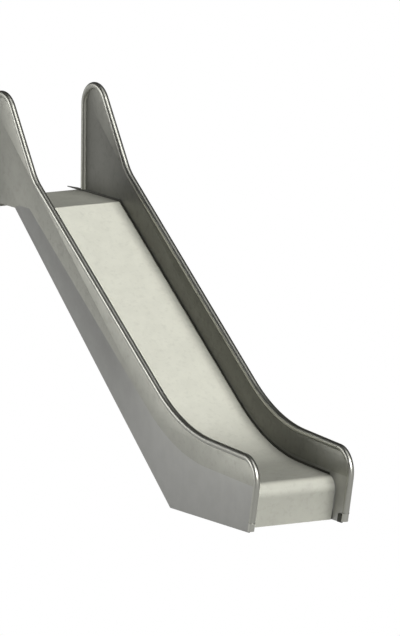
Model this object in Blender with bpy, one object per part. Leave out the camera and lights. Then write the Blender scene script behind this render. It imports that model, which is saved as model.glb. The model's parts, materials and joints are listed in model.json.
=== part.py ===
"""Embankment slide: a straight sheet steel chute between two tube-rimmed cheeks.

Frame: X across the slide, +Y uphill towards the start, +Z up, metres.
The origin is the middle of the underside of the foot flange behind the front apron,
and z = 0 is the ground at the exit.  The start end is held by the top of the bank.
"""
import math

import bmesh
import bpy
from mathutils import Matrix, Vector

# Sections and gaps
TUBE_DIAMETER = 0.0337
TUBE_RADIUS = TUBE_DIAMETER / 2
CHEEK_SHEET = 0.003
BED_SHEET = 0.0025
SEAM = 0.0003

# Across the slide
CLEAR_WIDTH = 0.500
RIM_X = (CLEAR_WIDTH + TUBE_DIAMETER) / 2
CHEEK_INSIDE_X = RIM_X - CHEEK_SHEET / 2
EDGE_STRIP_SHEET = 0.003
EDGE_STRIP_X = CHEEK_INSIDE_X - SEAM - EDGE_STRIP_SHEET / 2
BED_HALF_WIDTH = CHEEK_INSIDE_X - EDGE_STRIP_SHEET - 2 * SEAM

# Bed line, seen from the side
DECK_HEIGHT = 1.2785
DECK_LENGTH = 0.426
BEND_Y = 2.064
SLOPE_ANGLE = math.radians(35.0)
EXIT_CURVE_RADIUS = 1.13
RUNOUT_FALL = math.radians(2.9)
LIP_HEIGHT = 0.2175
LIP_RADIUS = 0.060
FRONT_LEAN = math.radians(13.8)
APRON_FOOT_Y = -0.033

# Rim line, seen from the side
RIM_OVER_BED = 0.1764
EAR_BACK_Y = 2.431
EAR_BACK_LEAN = math.radians(1.1)
EAR_TOP_RADIUS = 0.113
EAR_FRONT_ANGLE = math.radians(56.2)
EAR_FRONT_POINT = (1.993, 1.450)
EAR_KNEE_RADIUS = 0.25
EXIT_KNEE_RADIUS = 0.98
RUNOUT_RIM_POINT = (0.216, 0.392)
RUNOUT_RIM_FALL = math.radians(3.2)
NOSE_RADIUS = 0.11
NOSE_FOOT_Y = -0.1543

# Joints between the sheets, measured down the slope from the bend
UPPER_SEAM = 0.12
LOWER_SEAM = 1.45

# Edges of the side sheets
EAR_BOTTOM = DECK_HEIGHT - 0.005
SKIRT_OVER_BED = 0.0234
SKIRT_TOP = DECK_HEIGHT + 0.0135
SKIRT_TOP_BACK_Y = 2.150
SKIRT_BACK_Y = 2.188
SKIRT_GROUND_Y = 0.633

# Strips that close the corner between the bed and the cheeks
STRIP_OVER_BED = 0.010
TAB_LENGTH = 0.102
TAB_TIP_TOP = 0.003
TAB_TIP_BOTTOM = 0.001

# Feet and flanges
SHOE_LENGTH = 0.045
SHOE_CLEARANCE = 0.010
BRACKET_SIZE = 0.043
BRACKET_SHEET = 0.005
FOOT_FLANGE_DEPTH = 0.060
FOOT_FLANGE_SHEET = 0.005
START_FLANGE_DROP = 0.045

# Cross ribs under the bed
RIB_SHEET = 0.005
RIB_DEPTH = 0.050
DECK_RIB_BEHIND_BEND = 0.032
SLOPE_RIBS = 4
FIRST_SLOPE_RIB = 0.20
LAST_SLOPE_RIB = 1.40
RUNOUT_RIB_Y = 0.22

# Facets of the rounded parts
TUBE_BEVEL_RESOLUTION = 3
SHOE_SIDES = 24
EAR_TOP_STEPS = 14
KNEE_STEPS = 4
EXIT_STEPS = 10
NOSE_STEPS = 12
LIP_STEPS = 8

# Finishes: linear colour, roughness, metallic
POLISHED_TUBE = ("polished_tube", (0.66, 0.66, 0.60), 0.25, 1.0)
ROLLED_SHEET = ("rolled_sheet", (0.60, 0.60, 0.54), 0.35, 1.0)
SKIRT_SHEET = ("skirt_sheet", (0.50, 0.50, 0.46), 0.42, 1.0)
WELDED_STRIP = ("welded_strip", (0.22, 0.22, 0.20), 0.50, 1.0)
PLAIN_STEEL = ("plain_steel", (0.42, 0.42, 0.40), 0.48, 1.0)


def meet(point_a, direction_a, point_b, direction_b):
    """Point where two lines in the side view cross."""
    cross = direction_a[0] * direction_b[1] - direction_a[1] * direction_b[0]
    gap_y = point_b[0] - point_a[0]
    gap_z = point_b[1] - point_a[1]
    along = (gap_y * direction_b[1] - gap_z * direction_b[0]) / cross
    return (point_a[0] + along * direction_a[0], point_a[1] + along * direction_a[1])


def downhill(angle):
    """Unit direction in the side view that falls by the angle towards the exit."""
    return (-math.cos(angle), -math.sin(angle))


def fillet(before, corner, after, radius, steps):
    """Points of the arc that rounds one corner of a side-view line."""
    back = (Vector(before) - Vector(corner)).normalized()
    ahead = (Vector(after) - Vector(corner)).normalized()
    half_opening = back.angle(ahead) / 2
    tangent = radius / math.tan(half_opening)
    centre = Vector(corner) + (back + ahead).normalized() * (radius / math.sin(half_opening))
    first = Vector(corner) + back * tangent - centre
    last = Vector(corner) + ahead * tangent - centre
    sweep = math.atan2(first.x * last.y - first.y * last.x, first.dot(last))
    points = []
    for step in range(steps + 1):
        turned = Matrix.Rotation(sweep * step / steps, 2) @ first
        points.append(tuple(centre + turned))
    return points


def offset(path, distance):
    """Side-view line moved to its under side, or to its upper side if negative."""
    moved = []
    for index, point in enumerate(path):
        before = Vector(path[max(index - 1, 0)])
        after = Vector(path[min(index + 1, len(path) - 1)])
        here = Vector(point)
        directions = [piece.normalized() for piece in (here - before, after - here) if piece.length > 0]
        bisector = sum(directions, Vector((0.0, 0.0))).normalized()
        normal = Vector((-bisector.y, bisector.x))
        stretch = bisector.dot(directions[0])
        moved.append(tuple(here + normal * distance / stretch))
    return moved


def trimmed(path, start_trim, end_trim):
    """Line shortened at its two ends."""
    points = [Vector(point) for point in path]
    points[0] += (points[1] - points[0]).normalized() * start_trim
    points[-1] += (points[-2] - points[-1]).normalized() * end_trim
    return [tuple(point) for point in points]


def on_slope(distance, height):
    """Point at a distance down the slope from the bend and a height square to it."""
    along = Vector(downhill(SLOPE_ANGLE)) * distance
    over = Vector((-math.sin(SLOPE_ANGLE), math.cos(SLOPE_ANGLE))) * height
    return tuple(Vector((BEND_Y, DECK_HEIGHT)) + along + over)


# Corners of the bed line
DECK_BACK = (BEND_Y + DECK_LENGTH, DECK_HEIGHT)
BEND = (BEND_Y, DECK_HEIGHT)
APRON_FOOT = (APRON_FOOT_Y, 0.0)
LIP_CORNER = (APRON_FOOT_Y - LIP_HEIGHT * math.tan(FRONT_LEAN), LIP_HEIGHT)
EXIT_CORNER = meet(BEND, downhill(SLOPE_ANGLE), LIP_CORNER, downhill(RUNOUT_FALL))
EXIT_CURVE = fillet(BEND, EXIT_CORNER, LIP_CORNER, EXIT_CURVE_RADIUS, EXIT_STEPS)
LIP_CURVE = fillet(EXIT_CORNER, LIP_CORNER, APRON_FOOT, LIP_RADIUS, LIP_STEPS)
BED_LINE = [DECK_BACK, BEND] + EXIT_CURVE + LIP_CURVE + [APRON_FOOT]
BEND_INDEX = 1
CURVE_START = 2
CURVE_END = CURVE_START + EXIT_STEPS
LIP_START = CURVE_END + 1
LIP_END = LIP_START + LIP_STEPS

# Corners of the rim line
RIM_SLOPE_POINT = on_slope(0.0, RIM_OVER_BED)
EAR_BACK_FOOT = (EAR_BACK_Y, EAR_BOTTOM)
EAR_BACK_UP = (-math.sin(EAR_BACK_LEAN), math.cos(EAR_BACK_LEAN))
NOSE_FOOT = (NOSE_FOOT_Y, 0.0)
FRONT_UP = (-math.sin(FRONT_LEAN), math.cos(FRONT_LEAN))
EAR_APEX = meet(EAR_BACK_FOOT, EAR_BACK_UP, EAR_FRONT_POINT, downhill(EAR_FRONT_ANGLE))
EAR_KNEE = meet(EAR_FRONT_POINT, downhill(EAR_FRONT_ANGLE), RIM_SLOPE_POINT, downhill(SLOPE_ANGLE))
EXIT_KNEE = meet(RIM_SLOPE_POINT, downhill(SLOPE_ANGLE), RUNOUT_RIM_POINT, downhill(RUNOUT_RIM_FALL))
NOSE = meet(RUNOUT_RIM_POINT, downhill(RUNOUT_RIM_FALL), NOSE_FOOT, FRONT_UP)
EAR_RIM_LINE = (
    [EAR_BACK_FOOT]
    + fillet(EAR_BACK_FOOT, EAR_APEX, EAR_KNEE, EAR_TOP_RADIUS, EAR_TOP_STEPS)
    + fillet(EAR_APEX, EAR_KNEE, EXIT_KNEE, EAR_KNEE_RADIUS, KNEE_STEPS)
    + [on_slope(UPPER_SEAM, RIM_OVER_BED)]
)
SLOPE_RIM_LINE = [on_slope(UPPER_SEAM, RIM_OVER_BED), on_slope(LOWER_SEAM, RIM_OVER_BED)]
RUNOUT_RIM_LINE = (
    [on_slope(LOWER_SEAM, RIM_OVER_BED)]
    + fillet(EAR_KNEE, EXIT_KNEE, NOSE, EXIT_KNEE_RADIUS, EXIT_STEPS)
    + fillet(EXIT_KNEE, NOSE, NOSE_FOOT, NOSE_RADIUS, NOSE_STEPS)
    + [NOSE_FOOT]
)

# Line between the cheek and the skirt below it, from the back of the skirt to the nose
LEVEL = (1.0, 0.0)
OVER_BED = offset(BED_LINE, -SKIRT_OVER_BED)
NOSE_INSIDE = (NOSE_FOOT_Y + (TUBE_RADIUS + SEAM) / math.cos(FRONT_LEAN), 0.0)
SKIRT_TOP_FRONT = meet(on_slope(0.0, SKIRT_OVER_BED), downhill(SLOPE_ANGLE), (BEND_Y, SKIRT_TOP), LEVEL)
NOSE_TOP = meet(OVER_BED[CURVE_END], downhill(RUNOUT_FALL), NOSE_INSIDE, FRONT_UP)
SKIRT_BACK_POINTS = [(SKIRT_BACK_Y, EAR_BOTTOM), (SKIRT_TOP_BACK_Y, SKIRT_TOP), SKIRT_TOP_FRONT]
SKIRT_TOP_LINE = SKIRT_BACK_POINTS + OVER_BED[CURVE_START:CURVE_END + 1] + [NOSE_TOP]
CHEEK_FOOT_LINE = offset(SKIRT_TOP_LINE, -SEAM)


def clear_scene():
    """Empty the scene, and return the slide's new collection."""
    for thing in list(bpy.data.objects):
        bpy.data.objects.remove(thing)
    slide = bpy.data.collections.new("embankment_slide")
    bpy.context.scene.collection.children.link(slide)
    return slide


def finish(settings):
    """Material of one finish, made once."""
    name, colour, roughness, metallic = settings
    material = bpy.data.materials.get(name)
    if material:
        return material
    material = bpy.data.materials.new(name)
    material.use_nodes = True
    shader = material.node_tree.nodes["Principled BSDF"]
    shader.inputs["Base Color"].default_value = (*colour, 1.0)
    shader.inputs["Roughness"].default_value = roughness
    shader.inputs["Metallic"].default_value = metallic
    return material


def add_object(collection, name, data, settings):
    """Object with its finish, in the slide's collection."""
    data.materials.append(finish(settings))
    thing = bpy.data.objects.new(name, data)
    collection.objects.link(thing)
    return thing


def add_plate(collection, name, outline, x_centre, width, settings):
    """Solid with a side-view outline, extruded across the slide."""
    curve = bpy.data.curves.new(name, "CURVE")
    curve.dimensions = "2D"
    curve.fill_mode = "BOTH"
    curve.extrude = width / 2
    spline = curve.splines.new("POLY")
    spline.points.add(len(outline) - 1)
    for point, (along, height) in zip(spline.points, outline):
        point.co = (along, height, 0.0, 1.0)
    spline.use_cyclic_u = True
    plate = add_object(collection, name, curve, settings)
    plate.rotation_euler = (math.pi / 2, 0.0, math.pi / 2)
    plate.location.x = x_centre
    return plate


def add_tube(collection, name, path, x_centre, settings):
    """Round tube along a side-view line."""
    curve = bpy.data.curves.new(name, "CURVE")
    curve.dimensions = "3D"
    curve.bevel_depth = TUBE_RADIUS
    curve.bevel_resolution = TUBE_BEVEL_RESOLUTION
    curve.use_fill_caps = True
    spline = curve.splines.new("POLY")
    spline.points.add(len(path) - 1)
    for point, (along, height) in zip(spline.points, path):
        point.co = (0.0, along, height, 1.0)
    tube = add_object(collection, name, curve, settings)
    tube.location.x = x_centre
    return tube


def add_bar(collection, name, size, centre, tilt, settings):
    """Flat bar across the slide, tilted about the X axis."""
    mesh = bpy.data.meshes.new(name)
    shape = bmesh.new()
    bmesh.ops.create_cube(shape, size=1.0, matrix=Matrix.Diagonal((*size, 1.0)))
    shape.to_mesh(mesh)
    shape.free()
    bar = add_object(collection, name, mesh, settings)
    bar.location = centre
    bar.rotation_euler.x = tilt
    return bar


def band(path, first, last, over, under):
    """Outline of a strip that follows part of a side-view line."""
    upper = trimmed(offset(path, -over)[first:last + 1], SEAM / 2, SEAM / 2)
    lower = trimmed(offset(path, under)[first:last + 1], SEAM / 2, SEAM / 2)
    return upper + lower[::-1]


def add_bed(collection):
    """Start deck, slope, exit curve, runout, lip and front apron."""
    runs = (
        ("start_deck", 0, BEND_INDEX),
        ("slope_bed", BEND_INDEX, CURVE_START),
        ("exit_curve_bed", CURVE_START, CURVE_END),
        ("runout_bed", CURVE_END, LIP_START),
        ("exit_lip", LIP_START, LIP_END),
        ("front_apron", LIP_END, LIP_END + 1),
    )
    for name, first, last in runs:
        outline = band(BED_LINE, first, last, 0.0, BED_SHEET)
        if name == "front_apron":
            outline = cut_at_ground(outline)
        add_plate(collection, name, outline, 0.0, 2 * BED_HALF_WIDTH, ROLLED_SHEET)


def cut_at_ground(outline):
    """Apron outline with its foot cut level at the ground."""
    outer_top, outer_foot, inner_foot, inner_top = outline
    ground = (0.0, 0.0)
    outer_cut = meet(outer_foot, FRONT_UP, ground, LEVEL)
    inner_cut = meet(inner_foot, FRONT_UP, ground, LEVEL)
    return [outer_top, outer_cut, inner_cut, inner_top]


def add_edge_strips(collection, side, sign):
    """Strips that close the corner between the bed and one cheek."""
    x_centre = sign * EDGE_STRIP_X
    deck = band(BED_LINE, 0, BEND_INDEX, STRIP_OVER_BED, BED_SHEET)
    tip_y = DECK_BACK[0] + TAB_LENGTH
    deck += [(tip_y, DECK_HEIGHT - TAB_TIP_BOTTOM), (tip_y, DECK_HEIGHT + TAB_TIP_TOP)]
    slope = band(BED_LINE, BEND_INDEX, CURVE_START, STRIP_OVER_BED, BED_SHEET)
    runout = band(BED_LINE, CURVE_START, LIP_START, STRIP_OVER_BED, BED_SHEET)
    for name, outline in (("deck_edge", deck), ("slope_edge", slope), ("runout_edge", runout)):
        add_plate(collection, f"{side}_{name}", outline, x_centre, EDGE_STRIP_SHEET, WELDED_STRIP)


def add_cheek(collection, side, sign):
    """Ear, slope and nose sheets of one cheek."""
    inset = TUBE_RADIUS + SEAM
    top, foot = RIM_OVER_BED - inset, SKIRT_OVER_BED + SEAM
    half = SEAM / 2
    ear = offset(EAR_RIM_LINE, inset)
    ear[0] = (ear[0][0], EAR_BOTTOM)
    ear_outline = trimmed(ear, 0.0, half)
    ear_outline.append(on_slope(UPPER_SEAM - half, foot))
    ear_outline += [CHEEK_FOOT_LINE[2], CHEEK_FOOT_LINE[1]]
    skirt_rise = tuple(Vector(SKIRT_BACK_POINTS[1]) - Vector(SKIRT_BACK_POINTS[0]))
    ear_outline.append(meet(CHEEK_FOOT_LINE[0], skirt_rise, EAR_BACK_FOOT, LEVEL))
    slope_outline = [
        on_slope(UPPER_SEAM + half, top),
        on_slope(LOWER_SEAM - half, top),
        on_slope(LOWER_SEAM - half, foot),
        on_slope(UPPER_SEAM + half, foot),
    ]
    nose = trimmed(offset(RUNOUT_RIM_LINE, inset), half, 0.0)
    nose[-1] = meet(nose[-1], FRONT_UP, CHEEK_FOOT_LINE[-1], downhill(RUNOUT_FALL))
    nose_outline = nose + CHEEK_FOOT_LINE[len(SKIRT_BACK_POINTS):-1][::-1]
    nose_outline.append(on_slope(LOWER_SEAM + half, foot))
    sheets = (("ear_panel", ear_outline), ("slope_panel", slope_outline), ("nose_panel", nose_outline))
    for name, outline in sheets:
        add_plate(collection, f"{side}_{name}", outline, sign * RIM_X, CHEEK_SHEET, ROLLED_SHEET)


def add_skirt(collection, side, sign):
    """Side sheet below one cheek, in its plane, down to the bank and the ground."""
    outline = SKIRT_TOP_LINE + [NOSE_INSIDE, (SKIRT_GROUND_Y, 0.0)]
    add_plate(collection, f"{side}_skirt", outline, sign * RIM_X, CHEEK_SHEET, SKIRT_SHEET)


def add_rims(collection, side, sign):
    """Tubes along the top of one cheek, down to the shoe at the exit."""
    half = SEAM / 2
    above_strip = DECK_HEIGHT + STRIP_OVER_BED + SEAM - EAR_BOTTOM
    shoe_top = (SHOE_CLEARANCE + SHOE_LENGTH) / math.cos(FRONT_LEAN)
    lines = (
        ("ear_rim", trimmed(EAR_RIM_LINE, above_strip, half)),
        ("slope_rim", trimmed(SLOPE_RIM_LINE, half, half)),
        ("nose_rim", trimmed(RUNOUT_RIM_LINE, half, shoe_top + SEAM)),
    )
    for name, path in lines:
        add_tube(collection, f"{side}_{name}", path, sign * RIM_X, POLISHED_TUBE)


def add_shoe(collection, side, sign):
    """End shoe of the front tube: its top is square to the tube, its foot is level."""
    name = f"{side}_foot_shoe"
    mesh = bpy.data.meshes.new(name)
    shape = bmesh.new()
    bmesh.ops.create_cone(
        shape, cap_ends=True, segments=SHOE_SIDES,
        radius1=TUBE_RADIUS, radius2=TUBE_RADIUS, depth=SHOE_LENGTH,
    )
    axis = Vector((0.0, *FRONT_UP))
    top = Vector((0.0, *NOSE_FOOT)) + axis * (SHOE_CLEARANCE + SHOE_LENGTH) / math.cos(FRONT_LEAN)
    upright = Matrix.Rotation(FRONT_LEAN, 4, "X")
    middle = Matrix.Translation(top - axis * SHOE_LENGTH / 2)
    bmesh.ops.transform(shape, matrix=middle @ upright, verts=shape.verts)
    for vertex in shape.verts:
        if (vertex.co - top).dot(axis) < -SHOE_LENGTH / 2:
            vertex.co += axis * (SHOE_CLEARANCE - vertex.co.z) / axis.z
    shape.to_mesh(mesh)
    shape.free()
    shoe = add_object(collection, name, mesh, PLAIN_STEEL)
    shoe.location.x = sign * RIM_X


def add_bracket(collection, side, sign):
    """Small foot plate on the inside of one cheek, just behind the front tube."""
    front_y = NOSE_INSIDE[0]
    shift = BRACKET_SIZE * math.tan(FRONT_LEAN)
    outline = [
        (front_y, 0.0),
        (front_y + BRACKET_SIZE, 0.0),
        (front_y + BRACKET_SIZE - shift, BRACKET_SIZE),
        (front_y - shift, BRACKET_SIZE),
    ]
    x_centre = sign * (CHEEK_INSIDE_X - SEAM - BRACKET_SHEET / 2)
    add_plate(collection, f"{side}_foot_bracket", outline, x_centre, BRACKET_SHEET, PLAIN_STEEL)


def add_flanges(collection):
    """Foot flange behind the apron and the down-turned flange of the start deck."""
    flange_size = (2 * BED_HALF_WIDTH, FOOT_FLANGE_DEPTH, FOOT_FLANGE_SHEET)
    foot_centre = (0.0, 0.0, FOOT_FLANGE_SHEET / 2)
    add_bar(collection, "foot_flange", flange_size, foot_centre, 0.0, PLAIN_STEEL)
    drop_size = (2 * BED_HALF_WIDTH, BED_SHEET, START_FLANGE_DROP)
    drop_y = DECK_BACK[0] - SEAM / 2 - BED_SHEET / 2
    drop_z = DECK_HEIGHT - BED_SHEET - SEAM - START_FLANGE_DROP / 2
    add_bar(collection, "start_flange", drop_size, (0.0, drop_y, drop_z), 0.0, PLAIN_STEEL)


def add_ribs(collection):
    """Flat bars on edge across the underside of the bed."""
    size = (2 * (CHEEK_INSIDE_X - SEAM), RIB_SHEET, RIB_DEPTH)
    below = BED_SHEET + SEAM + RIB_DEPTH / 2
    deck_centre = (0.0, BEND_Y + DECK_RIB_BEHIND_BEND, DECK_HEIGHT - below)
    add_bar(collection, "deck_rib", size, deck_centre, 0.0, PLAIN_STEEL)
    spacing = (LAST_SLOPE_RIB - FIRST_SLOPE_RIB) / (SLOPE_RIBS - 1)
    for index in range(SLOPE_RIBS):
        centre = (0.0, *on_slope(FIRST_SLOPE_RIB + index * spacing, -below))
        add_bar(collection, f"slope_rib_{index + 1}", size, centre, SLOPE_ANGLE, PLAIN_STEEL)
    bed_point = meet(LIP_CORNER, downhill(RUNOUT_FALL), (RUNOUT_RIB_Y, 0.0), (0.0, 1.0))
    centre_y = bed_point[0] + below * math.sin(RUNOUT_FALL)
    centre_z = bed_point[1] - below * math.cos(RUNOUT_FALL)
    add_bar(collection, "runout_rib", size, (0.0, centre_y, centre_z), RUNOUT_FALL, PLAIN_STEEL)


def main():
    """Build the slide."""
    slide = clear_scene()
    add_bed(slide)
    add_flanges(slide)
    add_ribs(slide)
    for side, sign in (("left", -1.0), ("right", 1.0)):
        add_cheek(slide, side, sign)
        add_skirt(slide, side, sign)
        add_edge_strips(slide, side, sign)
        add_rims(slide, side, sign)
        add_shoe(slide, side, sign)
        add_bracket(slide, side, sign)


main()
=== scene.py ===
"""Dress an embankment slide: sheets, rim tubes, welds, fixings and the finish of each.

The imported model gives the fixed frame: +X across the slide, +Y uphill to the start
deck, +Z up, with the ground at the exit at z = 0.  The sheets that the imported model
holds in straight lengths are made here as the single bent sheets of the real slide.
"""
from __future__ import annotations

import json
import logging
import math
from dataclasses import dataclass, field
from enum import Enum

import bmesh
import bpy
from mathutils import Matrix, Vector

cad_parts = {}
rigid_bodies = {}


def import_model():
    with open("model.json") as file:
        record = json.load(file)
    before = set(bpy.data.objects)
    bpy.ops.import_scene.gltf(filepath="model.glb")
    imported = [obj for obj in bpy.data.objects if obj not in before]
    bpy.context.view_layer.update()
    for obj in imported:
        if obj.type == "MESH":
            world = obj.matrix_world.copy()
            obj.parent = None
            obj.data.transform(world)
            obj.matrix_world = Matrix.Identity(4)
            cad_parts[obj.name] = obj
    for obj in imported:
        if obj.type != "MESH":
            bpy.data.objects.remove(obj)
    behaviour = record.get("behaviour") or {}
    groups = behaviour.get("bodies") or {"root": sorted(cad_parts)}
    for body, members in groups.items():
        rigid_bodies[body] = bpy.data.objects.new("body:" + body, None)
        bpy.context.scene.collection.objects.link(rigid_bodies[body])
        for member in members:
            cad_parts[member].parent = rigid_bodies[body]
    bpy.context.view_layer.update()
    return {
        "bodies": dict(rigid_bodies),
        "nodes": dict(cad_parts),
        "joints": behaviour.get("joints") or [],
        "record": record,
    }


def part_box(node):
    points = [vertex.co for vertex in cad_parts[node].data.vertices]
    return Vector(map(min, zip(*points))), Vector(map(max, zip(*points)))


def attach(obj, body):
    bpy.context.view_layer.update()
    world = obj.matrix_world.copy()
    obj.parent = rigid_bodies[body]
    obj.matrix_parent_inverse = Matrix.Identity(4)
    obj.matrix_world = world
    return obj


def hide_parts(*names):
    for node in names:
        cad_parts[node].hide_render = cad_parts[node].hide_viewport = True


LOG = logging.getLogger("slide")
MILLIMETRE = 0.001
BODY = "root"

Point = tuple[float, float]


class Side(Enum):
    """The two cheeks, as seen from the exit."""

    LEFT = -1
    RIGHT = 1

    @property
    def word(self) -> str:
        """Prefix of the names on this side."""
        return self.name.lower()


class Slot(Enum):
    """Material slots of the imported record."""

    SHEET = "rolled_sheet"
    SKIRT = "skirt_sheet"
    TUBE = "polished_tube"
    STRIP = "welded_strip"
    PLAIN = "plain_steel"


def linear_colour(hex_colour: str) -> tuple[float, float, float, float]:
    """Turn an sRGB hex colour into linear values.

    Args:
        hex_colour: Six hex digits.

    Returns:
        Red, green, blue and an alpha of one.
    """
    values = [int(hex_colour[start:start + 2], 16) / 255 for start in (0, 2, 4)]
    line = [v / 12.92 if v <= 0.04045 else ((v + 0.055) / 1.055) ** 2.4 for v in values]
    return (*line, 1.0)


def add_node(
    tree: bpy.types.NodeTree, kind: str, settings: dict | None = None, links: dict | None = None
) -> bpy.types.Node:
    """Add one node with its settings and links.

    Args:
        tree: Node tree that gets the node.
        kind: Blender's name of the node type.
        settings: Values of properties, or of input sockets by name or index.
        links: Output sockets to join, by the name or index of this node's input.

    Returns:
        The new node.
    """
    node = tree.nodes.new(kind)
    for key, value in (settings or {}).items():
        if isinstance(key, str) and hasattr(node, key):
            setattr(node, key, value)
        else:
            node.inputs[key].default_value = value
    for key, socket in (links or {}).items():
        tree.links.new(socket, node.inputs[key])
    return node


@dataclass(frozen=True)
class SlideSizes:
    """Real sizes of the slide in metres and radians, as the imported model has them."""

    tube_radius: float = 0.01685
    cheek_sheet: float = 0.003
    bed_sheet: float = 0.0025
    seam: float = 0.0003
    clear_width: float = 0.500
    deck_height: float = 1.2785
    deck_length: float = 0.426
    bend_y: float = 2.064
    slope_angle: float = math.radians(35.0)
    exit_curve_radius: float = 1.13
    runout_fall: float = math.radians(2.9)
    lip_radius: float = 0.060
    lip_height: float = 0.2175
    front_lean: float = math.radians(13.8)
    apron_foot_y: float = -0.033
    rim_over_bed: float = 0.1764
    ear_back_y: float = 2.431
    ear_back_lean: float = math.radians(1.1)
    ear_top_radius: float = 0.113
    ear_front_angle: float = math.radians(56.2)
    ear_front_point: Point = (1.993, 1.450)
    ear_knee_radius: float = 0.25
    exit_knee_radius: float = 0.98
    runout_rim_point: Point = (0.216, 0.392)
    runout_rim_fall: float = math.radians(3.2)
    nose_radius: float = 0.11
    nose_foot_y: float = -0.1543
    deck_bend_radius: float = 0.006

    @property
    def rim_x(self) -> float:
        """Middle of the rim tube and of the cheek sheet."""
        return self.clear_width / 2 + self.tube_radius

    @property
    def ear_bottom(self) -> float:
        """Height of the ears' lower edge."""
        return self.deck_height - 0.005


def meet(point_a: Point, direction_a: Point, point_b: Point, direction_b: Point) -> Point:
    """Find where two lines in the side view cross.

    Args:
        point_a: A point of the first line.
        direction_a: The first line's direction.
        point_b: A point of the second line.
        direction_b: The second line's direction.

    Returns:
        The crossing point.
    """
    cross = direction_a[0] * direction_b[1] - direction_a[1] * direction_b[0]
    gap_y, gap_z = point_b[0] - point_a[0], point_b[1] - point_a[1]
    along = (gap_y * direction_b[1] - gap_z * direction_b[0]) / cross
    return (point_a[0] + along * direction_a[0], point_a[1] + along * direction_a[1])


def downhill(angle: float) -> Point:
    """Direction in the side view that falls by the angle towards the exit."""
    return (-math.cos(angle), -math.sin(angle))


def fillet(before: Point, corner: Point, after: Point, radius: float, step: float) -> list[Point]:
    """Round one corner of a side-view line.

    Args:
        before: A point on the line before the corner.
        corner: The sharp corner.
        after: A point on the line after the corner.
        radius: Radius of the arc.
        step: Largest turn between two points of the arc, in radians.

    Returns:
        The arc's points from the first line to the second.
    """
    back = (Vector(before) - Vector(corner)).normalized()
    ahead = (Vector(after) - Vector(corner)).normalized()
    half_opening = back.angle(ahead) / 2
    tangent = radius / math.tan(half_opening)
    centre = Vector(corner) + (back + ahead).normalized() * (radius / math.sin(half_opening))
    first = Vector(corner) + back * tangent - centre
    last = Vector(corner) + ahead * tangent - centre
    sweep = math.atan2(first.x * last.y - first.y * last.x, first.dot(last))
    count = max(2, math.ceil(abs(sweep) / step))
    return [tuple(centre + Matrix.Rotation(sweep * n / count, 2) @ first) for n in range(count + 1)]


def offset(path: list[Point], distance: float) -> list[Point]:
    """Move a side-view line to its under side, or to its upper side if negative.

    Args:
        path: Points of the line, from the start deck to the exit.
        distance: How far to move it.

    Returns:
        The moved line, with the same number of points.
    """
    moved = []
    for index, point in enumerate(path):
        here = Vector(point)
        neighbours = (here - Vector(path[max(index - 1, 0)]), Vector(path[min(index + 1, len(path) - 1)]) - here)
        directions = [piece.normalized() for piece in neighbours if piece.length > 0]
        bisector = sum(directions, Vector((0.0, 0.0))).normalized()
        normal = Vector((-bisector.y, bisector.x))
        moved.append(tuple(here + normal * distance / bisector.dot(directions[0])))
    return moved


def supported(path: list[Point], gap: float = 0.004, shortest: float = 0.05) -> list[Point]:
    """Add points close to both ends of each long straight run, so that it is shaded flat.

    Args:
        path: Points of the line.
        gap: Distance of the added points from the run's ends.
        shortest: Length from which a run gets them.

    Returns:
        The line with the added points.
    """
    points = [path[0]]
    for start, end in zip(path, path[1:]):
        run = Vector(end) - Vector(start)
        if run.length > shortest:
            step = run.normalized() * gap
            points += [tuple(Vector(start) + step), tuple(Vector(end) - step)]
        points.append(end)
    return points


def walked(path: list[Point], step: float) -> list[Point]:
    """Points along a line at about equal steps."""
    points = [path[0]]
    for start, end in zip(path, path[1:]):
        run = Vector(end) - Vector(start)
        count = max(1, round(run.length / step))
        points += [tuple(Vector(start) + run * n / count) for n in range(1, count + 1)]
    return points


def trimmed(path: list[Point], start: float = 0.0, end: float = 0.0) -> list[Point]:
    """Shorten a line at its two ends by the given lengths."""
    points = [Vector(point) for point in path]
    points[0] += (points[1] - points[0]).normalized() * start
    points[-1] += (points[-2] - points[-1]).normalized() * end
    return [tuple(point) for point in points]


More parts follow.
